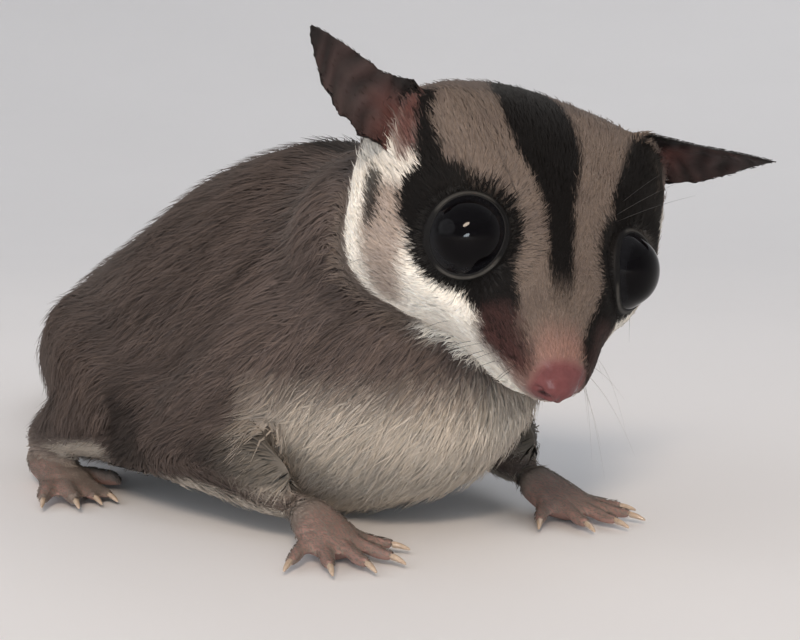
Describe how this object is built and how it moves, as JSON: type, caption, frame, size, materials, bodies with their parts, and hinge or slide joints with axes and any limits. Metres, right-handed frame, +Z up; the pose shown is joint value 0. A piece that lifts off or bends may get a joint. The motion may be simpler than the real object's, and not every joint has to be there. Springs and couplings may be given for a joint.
{
  "type": "sugar glider",
  "caption": "Life-size still model of a crouching sugar glider with a lowered, turned head, spread ears and a bushy tail curled on the floor.",
  "frame": {"origin": "on the flat under the belly, midway along it, at the level it rests on", "axes": "+X the way the body faces, +Y its left, +Z up"},
  "size_m": [0.1865, 0.1424, 0.0619],
  "materials": {
    "coat": "soft grey-brown fur with dark stripes",
    "pale_coat": "soft cream fur",
    "ear_skin": "thin bare skin, satin",
    "nose_skin": "moist bare skin",
    "paw_skin": "bare pink skin, satin",
    "eye": "wet black gloss",
    "claw": "pale horn, satin"
  },
  "bodies": {
    "root": {"head": "coat", "jaw": "pale_coat", "nose": "nose_skin", "eye_left": "eye", "ear_left": "ear_skin", "eye_right": "eye", "ear_right": "ear_skin", "trunk": "coat", "neck": "coat", "upper_arm_left": "coat", "forearm_left": "coat", "thigh_left": "coat", "shank_left": "coat", "membrane_left": "coat", "hand_left": "paw_skin", "claw_hand_left_1": "claw", "claw_hand_left_2": "claw", "claw_hand_left_3": "claw", "claw_hand_left_4": "claw", "claw_hand_left_5": "claw", "foot_left": "paw_skin", "claw_foot_left_2": "claw", "claw_foot_left_3": "claw", "claw_foot_left_4": "claw", "claw_foot_left_5": "claw", "upper_arm_right": "coat", "forearm_right": "coat", "thigh_right": "coat", "shank_right": "coat", "membrane_right": "coat", "hand_right": "paw_skin", "claw_hand_right_1": "claw", "claw_hand_right_2": "claw", "claw_hand_right_3": "claw", "claw_hand_right_4": "claw", "claw_hand_right_5": "claw", "foot_right": "paw_skin", "claw_foot_right_2": "claw", "claw_foot_right_3": "claw", "claw_foot_right_4": "claw", "claw_foot_right_5": "claw", "tail_1": "coat", "tail_2": "coat", "tail_3": "coat", "tail_4": "coat"}
  },
  "joints": []
}
